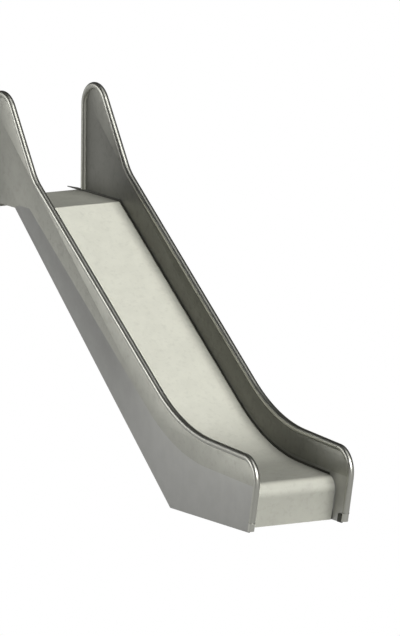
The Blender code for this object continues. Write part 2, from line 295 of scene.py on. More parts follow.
class SlideLines:
    """The bed line and the rim line of the slide, seen from the side."""

    COARSE_TURN = math.radians(1.5)
    FINE_TURN = math.radians(5.0)

    def __init__(self, sizes: SlideSizes) -> None:
        """Work out the corners and the rounded lines from the sizes."""
        self.sizes = s = sizes
        slope = downhill(s.slope_angle)
        lean = (-math.sin(s.front_lean), math.cos(s.front_lean))
        self.front_up = lean
        self.deck_back = (s.bend_y + s.deck_length, s.deck_height)
        self.bend = (s.bend_y, s.deck_height)
        self.apron_foot = (s.apron_foot_y, 0.0)
        self.lip = (s.apron_foot_y - s.lip_height * math.tan(s.front_lean), s.lip_height)
        self.exit = meet(self.bend, slope, self.lip, downhill(s.runout_fall))
        self.nose_foot = (s.nose_foot_y, 0.0)
        self.ear_foot = (s.ear_back_y, s.ear_bottom)
        ear_up = (-math.sin(s.ear_back_lean), math.cos(s.ear_back_lean))
        ear_front = downhill(s.ear_front_angle)
        rim_fall = downhill(s.runout_rim_fall)
        self.ear_apex = meet(self.ear_foot, ear_up, s.ear_front_point, ear_front)
        self.ear_knee = meet(s.ear_front_point, ear_front, self.on_slope(0, s.rim_over_bed), slope)
        self.exit_knee = meet(self.on_slope(0, s.rim_over_bed), slope, s.runout_rim_point, rim_fall)
        self.nose = meet(s.runout_rim_point, rim_fall, self.nose_foot, lean)

    def on_slope(self, distance: float, height: float) -> Point:
        """Point at a distance down the slope from the bend and a height square to it."""
        angle = self.sizes.slope_angle
        along = Vector(downhill(angle)) * distance
        over = Vector((-math.sin(angle), math.cos(angle))) * height
        return tuple(Vector((self.sizes.bend_y, self.sizes.deck_height)) + along + over)

    def runout_curve(self) -> list[Point]:
        """Arc from the slope to the runout."""
        return fillet(self.bend, self.exit, self.lip, self.sizes.exit_curve_radius, self.COARSE_TURN)

    def bed(self) -> list[Point]:
        """Top of the bed from the back of the start deck to the foot of the apron."""
        s = self.sizes
        bend = fillet(self.deck_back, self.bend, self.exit, s.deck_bend_radius, self.FINE_TURN)
        lip = fillet(self.exit, self.lip, self.apron_foot, s.lip_radius, self.FINE_TURN)
        return [self.deck_back] + bend + self.runout_curve() + lip + [self.apron_foot]

    def rim(self) -> list[Point]:
        """Middle of the rim tube from the back of the ear to the foot of the nose."""
        s = self.sizes
        ear_top = fillet(self.ear_foot, self.ear_apex, self.ear_knee, s.ear_top_radius, self.FINE_TURN)
        knee = fillet(self.ear_apex, self.ear_knee, self.exit_knee, s.ear_knee_radius, self.COARSE_TURN)
        exit_knee = fillet(self.ear_knee, self.exit_knee, self.nose, s.exit_knee_radius, self.COARSE_TURN)
        nose = fillet(self.exit_knee, self.nose, self.nose_foot, s.nose_radius, self.FINE_TURN)
        return [self.ear_foot] + ear_top + knee + exit_knee + nose + [self.nose_foot]


@dataclass(frozen=True)
class Ramp:
    """A value that changes smoothly along one direction of the slide.

    The place is read as distance from the middle plane, Y and Z, because both sides are alike.
    """

    direction: tuple[float, float, float]
    start: float
    end: float
    from_value: float = 0.0
    to_value: float = 1.0


@dataclass(frozen=True)
class Shade:
    """An area of painted shade or, with a negative depth, painted light, where all of its ramps are full."""

    depth: float
    ramps: tuple[Ramp, ...]


@dataclass(frozen=True)
class Mottle:
    """Cloudy variation of one size in a metal surface.

    Attributes:
        size_mm: Width of its patches.
        detail: Finer steps within the patches.
        low: Noise value where the change starts.
        high: Noise value where it is full.
        tone: Tone of the low patches, against one for the rest.
        rough: Roughness that the low patches add.
    """

    size_mm: float
    detail: float
    low: float
    high: float
    tone: float
    rough: float


@dataclass(frozen=True)
class MetalFinish:
    """Stainless steel with a mottled surface.

    Attributes:
        name: Name of the material, for the finish that it shows.
        tint: Hex colour of the metal.
        roughness: Roughness between the patches.
        metallic: Below one for a matt sheet that scatters part of the light.
        mottles: The sizes of cloudy variation.
        shades: Areas of painted shade or painted light.
        wave_mm: Width of the slack waves in the sheet.
        wave_height_mm: Their height.
        grain_mm: Width of the fine grain.
        grain_height_mm: Its height.
    """

    name: str
    tint: str
    roughness: float
    metallic: float = 1.0
    mottles: tuple[Mottle, ...] = ()
    shades: tuple[Shade, ...] = ()
    wave_mm: float = 160.0
    wave_height_mm: float = 0.10
    grain_mm: float = 5.0
    grain_height_mm: float = 0.015

    def make(self) -> bpy.types.Material:
        """Build the material."""
        material = bpy.data.materials.new(self.name)
        material.use_nodes = True
        tree = material.node_tree
        shader = tree.nodes["Principled BSDF"]
        shader.inputs["Metallic"].default_value = self.metallic
        place = add_node(tree, "ShaderNodeTexCoord").outputs["Object"]
        tone, rough = self.add_mottles(tree, place)
        for shade in self.shades:
            factor = self.add_shade(tree, place, shade)
            tone = add_node(tree, "ShaderNodeMath", {"operation": "MULTIPLY"}, {0: tone, 1: factor}).outputs[0]
        colour = add_node(
            tree, "ShaderNodeVectorMath",
            {"operation": "SCALE", 0: linear_colour(self.tint)[:3]}, {"Scale": tone},
        ).outputs[0]
        tree.links.new(colour, shader.inputs["Base Color"])
        tree.links.new(rough, shader.inputs["Roughness"])
        tree.links.new(self.add_relief(tree, place), shader.inputs["Normal"])
        return material

    def add_mottles(
        self, tree: bpy.types.NodeTree, place: bpy.types.NodeSocket
    ) -> tuple[bpy.types.NodeSocket, bpy.types.NodeSocket]:
        """Add the cloudy variation.

        Args:
            tree: Node tree of the material.
            place: Object coordinates.

        Returns:
            The tone, around one, and the roughness.
        """
        tone = add_node(tree, "ShaderNodeMath", {"operation": "ADD", 0: 1.0, 1: 0.0}).outputs[0]
        rough = add_node(tree, "ShaderNodeMath", {"operation": "ADD", 0: self.roughness, 1: 0.0}).outputs[0]
        for mottle in self.mottles:
            noise = add_node(
                tree, "ShaderNodeTexNoise",
                {"Scale": 1 / (mottle.size_mm * MILLIMETRE), "Detail": mottle.detail, "Roughness": 0.58},
                {"Vector": place},
            ).outputs["Fac"]
            limits = {"From Min": mottle.low, "From Max": mottle.high}
            patch = add_node(
                tree, "ShaderNodeMapRange", {**limits, "To Min": mottle.tone, "To Max": 1.0}, {"Value": noise}
            ).outputs["Result"]
            dull = add_node(
                tree, "ShaderNodeMapRange", {**limits, "To Min": mottle.rough, "To Max": 0.0}, {"Value": noise}
            ).outputs["Result"]
            tone = add_node(tree, "ShaderNodeMath", {"operation": "MULTIPLY"}, {0: tone, 1: patch}).outputs[0]
            rough = add_node(tree, "ShaderNodeMath", {"operation": "ADD"}, {0: rough, 1: dull}).outputs[0]
        return tone, rough

    @staticmethod
    def add_shade(
        tree: bpy.types.NodeTree, place: bpy.types.NodeSocket, shade: Shade
    ) -> bpy.types.NodeSocket:
        """Add one area of painted shade or painted light.

        Args:
            tree: Node tree of the material.
            place: Object coordinates.
            shade: The area.

        Returns:
            The tone to multiply with.
        """
        split = add_node(tree, "ShaderNodeSeparateXYZ", None, {0: place}).outputs
        aside = add_node(tree, "ShaderNodeMath", {"operation": "ABSOLUTE"}, {0: split["X"]}).outputs[0]
        folded = add_node(
            tree, "ShaderNodeCombineXYZ", None, {"X": aside, "Y": split["Y"], "Z": split["Z"]}
        ).outputs[0]
        amount = add_node(tree, "ShaderNodeMath", {"operation": "ADD", 0: shade.depth, 1: 0.0}).outputs[0]
        for ramp in shade.ramps:
            along = add_node(
                tree, "ShaderNodeVectorMath", {"operation": "DOT_PRODUCT", 1: ramp.direction}, {0: folded}
            ).outputs["Value"]
            flipped = ramp.start > ramp.end
            settings = {
                "interpolation_type": "SMOOTHSTEP",
                "From Min": min(ramp.start, ramp.end), "From Max": max(ramp.start, ramp.end),
                "To Min": ramp.to_value if flipped else ramp.from_value,
                "To Max": ramp.from_value if flipped else ramp.to_value,
            }
            part = add_node(tree, "ShaderNodeMapRange", settings, {"Value": along}).outputs["Result"]
            amount = add_node(tree, "ShaderNodeMath", {"operation": "MULTIPLY"}, {0: amount, 1: part}).outputs[0]
        return add_node(tree, "ShaderNodeMath", {"operation": "SUBTRACT", 0: 1.0}, {1: amount}).outputs[0]

    def add_relief(self, tree: bpy.types.NodeTree, place: bpy.types.NodeSocket) -> bpy.types.NodeSocket:
        """Add the slack waves and the fine grain, and return the shading normal."""
        normal = None
        for size_mm, height_mm in ((self.wave_mm, self.wave_height_mm), (self.grain_mm, self.grain_height_mm)):
            noise = add_node(
                tree, "ShaderNodeTexNoise", {"Scale": 1 / (size_mm * MILLIMETRE), "Detail": 1.0}, {"Vector": place}
            ).outputs["Fac"]
            links = {"Height": noise, "Normal": normal} if normal else {"Height": noise}
            settings = {"Strength": 1.0, "Distance": height_mm * MILLIMETRE}
            normal = add_node(tree, "ShaderNodeBump", settings, links).outputs[0]
        return normal


class Finishes:
    """Every finish of the slide, made once."""

    CLOUD = Mottle(size_mm=90.0, detail=3.0, low=0.40, high=0.62, tone=0.95, rough=0.02)
    FLECK = Mottle(size_mm=26.0, detail=4.0, low=0.30, high=0.48, tone=0.92, rough=0.05)
    SPECK = Mottle(size_mm=9.0, detail=3.0, low=0.26, high=0.36, tone=0.93, rough=0.05)

    def __init__(self, lines: SlideLines) -> None:
        """Build the materials.

        Args:
            lines: The side-view lines, which place the painted shade.
        """
        rolled = (self.CLOUD, self.FLECK, self.SPECK)
        # Cold-rolled stainless sheet, pickled matt: soft clouds with small darker flecks, no clear mirror image. The
        # deck, runout and apron carry painted shade.
        self.bed = MetalFinish("pickled_sheet_bed", "C4C4B8", 0.60, metallic=0.3, mottles=rolled, shades=(
            *self.level_shades(lines),
        )).make()
        # The same sheet on the cheeks, a little glossier, with painted shade on the inner faces.
        self.cheek = MetalFinish("pickled_sheet_cheek", "9E9E96", 0.48, mottles=rolled, shades=(
            self.inner_face(lines.sizes),
        )).make()
        # The lower side sheet: smoother in tone, with painted shade on its inner face and a band of painted shade
        # just below the crease.
        self.skirt = MetalFinish("weathered_sheet_skirt", "A8A8A4", 0.38, mottles=(self.CLOUD,), shades=(
            self.inner_face(lines.sizes),
            *self.crease_shades(lines),
        )).make()
        # Ground and polished tube: a brighter metal with a tight highlight along its top.
        self.tube = MetalFinish(
            "ground_stainless_tube", "A8A8A0", 0.38, mottles=(self.FLECK,),
            wave_height_mm=0.0, grain_mm=1.5, grain_height_mm=0.004,
        ).make()
        # Corner strip, its weld and the foot brackets: dark and uneven; the dark tone is painted shade of the corners
        # they sit in.
        self.strip = MetalFinish(
            "heat_dulled_weld_strip", "4A4A45", 0.45, mottles=(self.FLECK, self.SPECK), wave_height_mm=0.0,
        ).make()
        # Mill-finish flat bar: even and grey.
        self.plain = MetalFinish("mill_finish_flat_bar", "8C8C88", 0.42, mottles=rolled).make()
        # Turned stainless shoe: lighter than the tube above it.
        self.shoe = MetalFinish(
            "turned_stainless_shoe", "B4B4AC", 0.36, mottles=(self.SPECK,), wave_height_mm=0.0,
        ).make()
        # Brushed weld bead: a shallow ripple, slightly duller than the tube.
        self.weld = MetalFinish(
            "brushed_weld_bead", "9A9A92", 0.46, mottles=(self.SPECK,), wave_height_mm=0.0,
        ).make()

    @staticmethod
    def inner_face(sizes: SlideSizes) -> Shade:
        """Painted shade on the inner face of both side sheets, fading out towards the exit."""
        middle, fade = sizes.rim_x, sizes.cheek_sheet / 4
        return Shade(0.51, (
            Ramp((1.0, 0.0, 0.0), middle + fade, middle - fade),
            Ramp((0.0, 1.0, 0.0), -0.12, 0.30),
            Ramp((0.0, 1.0, 0.0), 2.30, 1.90, 0.80, 1.0),
        ))

    @staticmethod
    def level_shades(lines: SlideLines) -> tuple[Shade, ...]:
        """Painted shade: darker deck, runout and apron beside the bright slope, standing in for the light falling
        less on the level and upright sheet.
        """
        along, up = (0.0, 1.0, 0.0), (0.0, 0.0, 1.0)
        bend, lip = lines.bend[0], lines.sizes.lip_height
        return (
            Shade(0.43, (Ramp(along, bend - 0.003, bend + 0.003),)),
            Shade(0.45, (Ramp(along, 0.85, 0.20), Ramp(along, -0.065, -0.010), Ramp(up, lip - 0.05, lip - 0.02))),
            Shade(0.37, (Ramp(up, lip, lip - 0.03),)),
        )

    @staticmethod
    def crease_shades(lines: SlideLines) -> tuple[Shade, ...]:
        """Painted shade: a dull band below the crease, which fades towards the exit and towards the ground."""
        s = lines.sizes
        over = (0.0, -math.sin(s.slope_angle), math.cos(s.slope_angle))
        down = (0.0, -math.cos(s.slope_angle), -math.sin(s.slope_angle))
        bend = Vector((0.0, *lines.bend))
        height, along = Vector(over).dot(bend), Vector(down).dot(bend)
        return (
            Shade(0.34, (
                Ramp(over, height - 0.14, height + 0.02, 0.45, 1.0),
                Ramp(down, along + 1.65, along + 0.9),
            )),
        )


def link_object(name: str, mesh: bpy.types.Mesh, material: bpy.types.Material) -> bpy.types.Object:
    """Put a mesh in the scene under a name, with one material."""
    mesh.materials.clear()
    mesh.materials.append(material)
    thing = bpy.data.objects.new(name, mesh)
    bpy.context.scene.collection.objects.link(thing)
    return thing


def sheet_mesh(
    name: str, outline: list[Point], x_low: float, x_high: float,
    edge_round: float = 0.0, joined: tuple[Point, ...] = (),
) -> bpy.types.Mesh:
    """Make a sheet from its side-view outline.

    Args:
        name: Name of the mesh.
        outline: Corners in the side view, in order.
        x_low: Where the sheet starts across the slide.
        x_high: Where it ends.
        edge_round: Radius of the deburred edges, or zero for none.
        joined: Corners of the edge that runs on into the next sheet and stays sharp.

    Returns:
        A closed mesh with faces pointing outwards, flat on its sides and smooth along its bends.
    """
    shape = bmesh.new()
    ring = [shape.verts.new((x_low, along, height)) for along, height in outline]
    face = shape.faces.new(ring)
    extruded = bmesh.ops.extrude_face_region(shape, geom=[face])["geom"]
    moved = [part for part in extruded if isinstance(part, bmesh.types.BMVert)]
    bmesh.ops.translate(shape, vec=(x_high - x_low, 0.0, 0.0), verts=moved)
    bmesh.ops.recalc_face_normals(shape, faces=shape.faces)
    if edge_round:
        kept = {(round(along, 5), round(height, 5)) for along, height in joined}
        sharp = math.radians(40.0)
        edges = [
            edge for edge in shape.edges
            if edge.calc_face_angle(0.0) > sharp
            and not all((round(vert.co.y, 5), round(vert.co.z, 5)) in kept for vert in edge.verts)
        ]
        bmesh.ops.bevel(
            shape, geom=edges, offset=edge_round, segments=2, profile=0.5, affect="EDGES", clamp_overlap=True
        )
    for part in shape.faces:
        part.smooth = len(part.verts) <= 4
    mesh = bpy.data.meshes.new(name)
    shape.to_mesh(mesh)
    shape.free()
    mesh.set_sharp_from_angle(angle=math.radians(32.0))
    return mesh


def wire_mesh(name: str, points: list[Vector]) -> bpy.types.Mesh:
    """Open line of edges through the points."""
    mesh = bpy.data.meshes.new(name)
    edges = [(index, index + 1) for index in range(len(points) - 1)]
    mesh.from_pydata([tuple(point) for point in points], edges, [])
    return mesh


class SweptRound:
    """Geometry Nodes tree that sweeps a round section along a line of edges.

    A ripple swells and narrows the section along the line, as the runs of a weld bead do.
    """

    def __init__(self) -> None:
        """Build the tree with its named inputs."""
        self.tree = tree = bpy.data.node_groups.new("swept_round", "GeometryNodeTree")
        face = tree.interface
        face.new_socket("Line", in_out="INPUT", socket_type="NodeSocketGeometry")
        face.new_socket("Radius", in_out="INPUT", socket_type="NodeSocketFloat")
        face.new_socket("Sides", in_out="INPUT", socket_type="NodeSocketInt")
        face.new_socket("Ripple", in_out="INPUT", socket_type="NodeSocketFloat")
        face.new_socket("Ripple Pitch", in_out="INPUT", socket_type="NodeSocketFloat")
        face.new_socket("Finish", in_out="INPUT", socket_type="NodeSocketMaterial")
        face.new_socket("Round", in_out="OUTPUT", socket_type="NodeSocketGeometry")
        given = add_node(tree, "NodeGroupInput").outputs
        line = add_node(tree, "GeometryNodeMeshToCurve", None, {"Mesh": given["Line"]}).outputs["Curve"]
        circle = add_node(
            tree, "GeometryNodeCurvePrimitiveCircle", {"mode": "RADIUS"},
            {"Resolution": given["Sides"], "Radius": given["Radius"]},
        ).outputs["Curve"]
        walked_length = add_node(tree, "GeometryNodeSplineParameter").outputs["Length"]
        turns = add_node(
            tree, "ShaderNodeMath", {"operation": "DIVIDE"}, {0: walked_length, 1: given["Ripple Pitch"]}
        ).outputs[0]
        angle = add_node(tree, "ShaderNodeMath", {"operation": "MULTIPLY", 1: math.tau}, {0: turns}).outputs[0]
        swing = add_node(tree, "ShaderNodeMath", {"operation": "SINE"}, {0: angle}).outputs[0]
        swell = add_node(
            tree, "ShaderNodeMath", {"operation": "MULTIPLY_ADD", 2: 1.0}, {0: swing, 1: given["Ripple"]}
        ).outputs[0]
        swept = add_node(
            tree, "GeometryNodeCurveToMesh", {"Fill Caps": True},
            {"Curve": line, "Profile Curve": circle, "Scale": swell},
        ).outputs["Mesh"]
        real = add_node(tree, "GeometryNodeRealizeInstances", None, {"Geometry": swept}).outputs["Geometry"]
        dressed = add_node(
            tree, "GeometryNodeSetMaterial", None, {"Geometry": real, "Material": given["Finish"]}
        ).outputs["Geometry"]
        add_node(tree, "NodeGroupOutput", None, {"Round": dressed})


class StitchWelds:
    """Geometry Nodes tree that repeats a short weld on the points of a line."""

    def __init__(self) -> None:
        """Build the tree with its named inputs."""
        self.tree = tree = bpy.data.node_groups.new("stitch_welds", "GeometryNodeTree")
        face = tree.interface
        face.new_socket("Places", in_out="INPUT", socket_type="NodeSocketGeometry")
        face.new_socket("Weld", in_out="INPUT", socket_type="NodeSocketObject")
        face.new_socket("Size Spread", in_out="INPUT", socket_type="NodeSocketFloat")
        face.new_socket("Seed", in_out="INPUT", socket_type="NodeSocketInt")
        face.new_socket("Finish", in_out="INPUT", socket_type="NodeSocketMaterial")
        face.new_socket("Welds", in_out="OUTPUT", socket_type="NodeSocketGeometry")
        given = add_node(tree, "NodeGroupInput").outputs
        weld = add_node(tree, "GeometryNodeObjectInfo", None, {"Object": given["Weld"]}).outputs["Geometry"]
        least = add_node(tree, "ShaderNodeMath", {"operation": "SUBTRACT", 0: 1.0}, {1: given["Size Spread"]})
        most = add_node(tree, "ShaderNodeMath", {"operation": "ADD", 0: 1.0}, {1: given["Size Spread"]})
        size = add_node(
            tree, "FunctionNodeRandomValue", {"data_type": "FLOAT"},
            {2: least.outputs[0], 3: most.outputs[0], "Seed": given["Seed"]},
        ).outputs[1]
        row = add_node(
            tree, "GeometryNodeInstanceOnPoints", None,
            {"Points": given["Places"], "Instance": weld, "Scale": size},
        ).outputs["Instances"]
        real = add_node(tree, "GeometryNodeRealizeInstances", None, {"Geometry": row}).outputs["Geometry"]
        dressed = add_node(
            tree, "GeometryNodeSetMaterial", None, {"Geometry": real, "Material": given["Finish"]}
        ).outputs["Geometry"]
        add_node(tree, "NodeGroupOutput", None, {"Welds": dressed})


def grow(
    name: str, base: bpy.types.Mesh, tree: bpy.types.NodeTree, values: dict, material: bpy.types.Material
) -> bpy.types.Object:
    """Run a Geometry Nodes tree on a mesh and keep the result as a plain mesh.

    Args:
        name: Name of the finished piece.
        base: Line or points that the tree starts from.
        tree: The tree to run.
        values: Values of the tree's inputs, by name.
        material: Finish of the piece.

    Returns:
        The finished piece, with no modifier left on it.
    """
    start = bpy.data.objects.new(f"{name}_start", base)
    bpy.context.scene.collection.objects.link(start)
    modifier = start.modifiers.new("grow", "NODES")
    modifier.node_group = tree
    for item in tree.interface.items_tree:
        if item.item_type == "SOCKET" and item.in_out == "INPUT" and item.name in values:
            modifier[item.identifier] = values[item.name]
    graph = bpy.context.evaluated_depsgraph_get()
    mesh = bpy.data.meshes.new_from_object(start.evaluated_get(graph))
    bpy.data.objects.remove(start)
    shape = bmesh.new()
    shape.from_mesh(mesh)
    bmesh.ops.remove_doubles(shape, verts=shape.verts, dist=0.00001)
    bmesh.ops.recalc_face_normals(shape, faces=shape.faces)
    for face in shape.faces:
        face.smooth = True
    shape.to_mesh(mesh)
    shape.free()
    mesh.set_sharp_from_angle(angle=math.radians(40.0))
    return link_object(name, mesh, material)


def fit_piece(piece: bpy.types.Object, slot: Slot, *nodes: str) -> None:
    """Ride a finished piece on the slide and hide the nodes that it stands for."""
    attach(piece, BODY)
    if nodes:
        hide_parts(*nodes)
    LOG.info("%s: %d faces", piece.name, len(piece.data.polygons))


@dataclass
class WeldBead:
    """Rippled bead of a continuous weld."""

    sweep: SweptRound
    finishes: Finishes
    sides: int = 8
    step: float = 0.0012
    ripple: float = 0.05
    pitch: float = 0.0048

    def lay(self, name: str, x: float, path: list[Point], radius: float, material: bpy.types.Material) -> None:
        """Lay a bead along a side-view line.

        Args:
            name: Name of the piece.
            x: Place of the bead across the slide.
            path: The side-view line.
            radius: Radius of the bead.
            material: Its finish.
        """
        points = [Vector((x, along, height)) for along, height in walked(path, self.step)]
        values = {
            "Radius": radius, "Sides": self.sides, "Ripple": self.ripple, "Ripple Pitch": self.pitch,
            "Finish": material,
        }
        bead = grow(name, wire_mesh(name, points), self.sweep.tree, values, material)
        fit_piece(bead, Slot.PLAIN)


@dataclass
class Bed:
    """The sliding sheet, bent from one length, with its flanges and ribs."""

    lines: SlideLines
    finishes: Finishes
    stitches: StitchWelds
    fold_radius: float = 0.004
    rib_sheet: float = 0.005
    deck_rib_behind_bend: float = 0.032
    slope_rib_places: tuple[float, ...] = (0.20, 0.60, 1.00, 1.40)
    runout_rib_y: float = 0.22
    weld_length: float = 0.024
    weld_radius: float = 0.002
    weld_spacing: float = 0.062

    def build(self) -> None:
        """Build the sheet and the welds under it."""
        self.build_sheet()
        self.build_stitches()

    def build_sheet(self) -> None:
        """Bend the sheet from the flange behind the deck to the foot of the apron."""
        s = self.lines.sizes
        half_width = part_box("slope_bed")[1].x
        flange_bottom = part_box("start_flange")[0].z
        line = self.lines.bed()
        deck_back = line[0]
        fold = fillet(
            (deck_back[0], flange_bottom), deck_back, line[1], self.fold_radius, SlideLines.FINE_TURN
        )
        line = supported([(deck_back[0], flange_bottom)] + fold + line[1:])
        under = offset(line, s.bed_sheet)
        under[-1] = meet(under[-1], self.lines.front_up, (0.0, 0.0), (1.0, 0.0))
        under[0] = (under[0][0], flange_bottom)
        mesh = sheet_mesh("bed_sheet", line + under[::-1], -half_width, half_width)
        sheet = link_object("bed_sheet", mesh, self.finishes.bed)
        nodes = ("start_deck", "slope_bed", "exit_curve_bed", "runout_bed", "exit_lip", "front_apron")
        fit_piece(sheet, Slot.SHEET, *nodes, "start_flange")

    def rib_feet(self) -> list[Point]:
        """Side-view places where the two faces of each rib meet the sheet."""
        s, lines = self.lines.sizes, self.lines
        half = self.rib_sheet / 2 + self.weld_radius / 2
        feet = [(s.bend_y + self.deck_rib_behind_bend + side * half, s.deck_height - s.bed_sheet) for side in (-1, 1)]
        for place in self.slope_rib_places:
            feet += [lines.on_slope(place + side * half, -s.bed_sheet) for side in (-1, 1)]
        for side in (-1, 1):
            upright = (self.runout_rib_y + side * half, 0.0)
            top = meet(lines.lip, downhill(s.runout_fall), upright, (0.0, 1.0))
            feet.append((top[0], top[1] - s.bed_sheet))
        return feet

    def build_stitches(self) -> None:
        """Set short welds along both faces of every rib."""
        count = int(self.lines.sizes.clear_width / self.weld_spacing)
        first = -(count - 1) / 2 * self.weld_spacing
        places = [
            (first + index * self.weld_spacing, *foot) for foot in self.rib_feet() for index in range(count)
        ]
        points = bpy.data.meshes.new("stitch_places")
        points.from_pydata(places, [], [])
        weld = link_object("stitch", self.stitch_mesh(), self.finishes.weld)
        values = {"Weld": weld, "Size Spread": 0.08, "Seed": 7, "Finish": self.finishes.weld}
        row = grow("rib_stitch_welds", points, self.stitches.tree, values, self.finishes.weld)
        bpy.data.objects.remove(weld)
        fit_piece(row, Slot.PLAIN)

    def stitch_mesh(self) -> bpy.types.Mesh:
        """Make one short weld, long across the slide and rounded at its ends."""
        shape = bmesh.new()
        bmesh.ops.create_uvsphere(shape, u_segments=10, v_segments=6, radius=self.weld_radius)
        for vert in shape.verts:
            vert.co.x += math.copysign(self.weld_length / 2, vert.co.x) if abs(vert.co.x) > 1e-6 else 0.0
        mesh = bpy.data.meshes.new("stitch")
        shape.to_mesh(mesh)
        shape.free()
        return mesh

    def dress_bars(self, frame: dict) -> None:
        """Give the ribs and the foot flange their finish."""
        for name, node in frame["nodes"].items():
            if name == "foot_flange" or "rib" in name:
                node.data.materials.clear()
                node.data.materials.append(self.finishes.plain)


@dataclass
class Cheek:
    """One side of the slide: its sheets, rim tube, corner strip, welds and foot."""

    side: Side
    lines: SlideLines
    finishes: Finishes
    sweep: SweptRound
    bead: WeldBead
    edge_round: float = 0.0005
    tube_sides: int = 48
    skirt_over_bed: float = 0.0234
    skirt_top_over_deck: float = 0.0135
    skirt_top_back_y: float = 2.150
    skirt_back_y: float = 2.188
    skirt_ground_y: float = 0.633
    strip_over_bed: float = 0.010
    rim_weld_radius: float = 0.0020
    strip_weld_radius: float = 0.0014
    shoe_weld_radius: float = 0.0016

    def name(self, word: str) -> str:
        """Name of a piece or node on this side."""
        return f"{self.side.word}_{word}"

    def build(self) -> None:
        """Build every piece of this side."""
        self.build_sheets()
        self.build_rim()
        self.build_strip()
        self.build_welds()

    def crease(self) -> list[Point]:
        """Line where the cheek sheet ends and the skirt starts, from the back to the nose."""
        s, lines = self.lines.sizes, self.lines
        over = offset([lines.bend] + lines.runout_curve() + [lines.lip], -self.skirt_over_bed)
        level, top = (1.0, 0.0), s.deck_height + self.skirt_top_over_deck
        first = meet(over[1], downhill(s.slope_angle), (s.bend_y, top), level)
        nose_top = meet(over[-2], downhill(s.runout_fall), self.nose_inside(), lines.front_up)
        back = [(self.skirt_back_y, s.ear_bottom), (self.skirt_top_back_y, top), first]
        return back + over[1:-1] + [nose_top]

    def nose_inside(self) -> Point:
        """Foot of the side sheet behind the front tube."""
        s = self.lines.sizes
        return (s.nose_foot_y + (s.tube_radius + s.seam) / math.cos(s.front_lean), 0.0)

    def build_sheets(self) -> None:
        """Build the flat cheek sheet with its ear and nose, and the skirt in its plane."""
        s, lines = self.lines.sizes, self.lines
        crease = self.crease()
        edge = offset(lines.rim(), s.tube_radius + s.seam)[:-1]
        edge[0] = (edge[0][0], s.ear_bottom)
        low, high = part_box(self.name("slope_panel"))
        joined = tuple(crease)
        mesh = sheet_mesh(
            self.name("cheek_sheet"), edge + crease[::-1], low.x, high.x, self.edge_round, joined
        )
        sheet = link_object(mesh.name, mesh, self.finishes.cheek)
        panels = (self.name("ear_panel"), self.name("slope_panel"), self.name("nose_panel"))
        fit_piece(sheet, Slot.SHEET, *panels)
        outline = crease + [self.nose_inside(), (self.skirt_ground_y, 0.0)]
        mesh = sheet_mesh(self.name("skirt_sheet"), outline, low.x, high.x, self.edge_round, joined)
        fit_piece(link_object(mesh.name, mesh, self.finishes.skirt), Slot.SKIRT, self.name("skirt"))

    def build_rim(self) -> None:
        """Sweep the rim tube along its line, down to the shoe."""
        s = self.lines.sizes
        shoe_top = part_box(self.name("nose_rim"))[0].z + s.tube_radius * math.sin(s.front_lean)
        tube_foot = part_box(self.name("ear_rim"))[0].z
        path = trimmed(self.lines.rim(), tube_foot - s.ear_bottom, shoe_top / math.cos(s.front_lean))
        x = self.side.value * s.rim_x
        base = wire_mesh("rim_line", [Vector((x, along, height)) for along, height in supported(path)])
        values = {
            "Radius": s.tube_radius, "Sides": self.tube_sides, "Ripple": 0.0, "Ripple Pitch": 1.0,
            "Finish": self.finishes.tube,
        }
        tube = grow(self.name("rim_tube"), base, self.sweep.tree, values, self.finishes.tube)
        fit_piece(tube, Slot.TUBE, self.name("ear_rim"), self.name("slope_rim"), self.name("nose_rim"))

    def strip_path(self) -> list[Point]:
        """Top of the bed where the corner strip runs, from the deck's back to the lip."""
        s, lines = self.lines.sizes, self.lines
        bend = fillet(lines.deck_back, lines.bend, lines.exit, s.deck_bend_radius, SlideLines.FINE_TURN)
        lip = fillet(lines.exit, lines.lip, lines.apron_foot, s.lip_radius, SlideLines.FINE_TURN)
        return [lines.deck_back] + bend + lines.runout_curve() + [lip[0]]

    def build_strip(self) -> None:
        """Build the dark strip in the corner between the bed and this cheek; its dark tone is painted shade."""
        s, path = self.lines.sizes, supported(self.strip_path())
        low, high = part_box(self.name("deck_edge"))
        tab = [(high.y, s.deck_height - 0.001), (high.y, s.deck_height + 0.003)]
        outline = offset(path, -self.strip_over_bed) + offset(path, s.bed_sheet)[::-1] + tab
        mesh = sheet_mesh(self.name("corner_strip"), outline, low.x, high.x, self.edge_round)
        strip = link_object(mesh.name, mesh, self.finishes.strip)
        nodes = (self.name("deck_edge"), self.name("slope_edge"), self.name("runout_edge"))
        fit_piece(strip, Slot.STRIP, *nodes)

    def build_welds(self) -> None:
        """Lay the beads along the rim, the corner strip and the shoe."""
        s, lines, sign = self.lines.sizes, self.lines, self.side.value
        half = s.cheek_sheet / 2
        rim = trimmed(offset(lines.rim(), s.tube_radius), self.strip_over_bed, 0.060)
        for word, x in (("inner", s.rim_x - half), ("outer", s.rim_x + half)):
            name = self.name(f"rim_weld_{word}")
            self.bead.lay(name, sign * x, rim, self.rim_weld_radius, self.finishes.weld)
        strip = trimmed(offset(self.strip_path(), -self.strip_over_bed), 0.060, 0.0)
        name = self.name("strip_weld")
        self.bead.lay(name, sign * (s.rim_x - half), strip, self.strip_weld_radius, self.finishes.strip)
        self.build_shoe_weld()

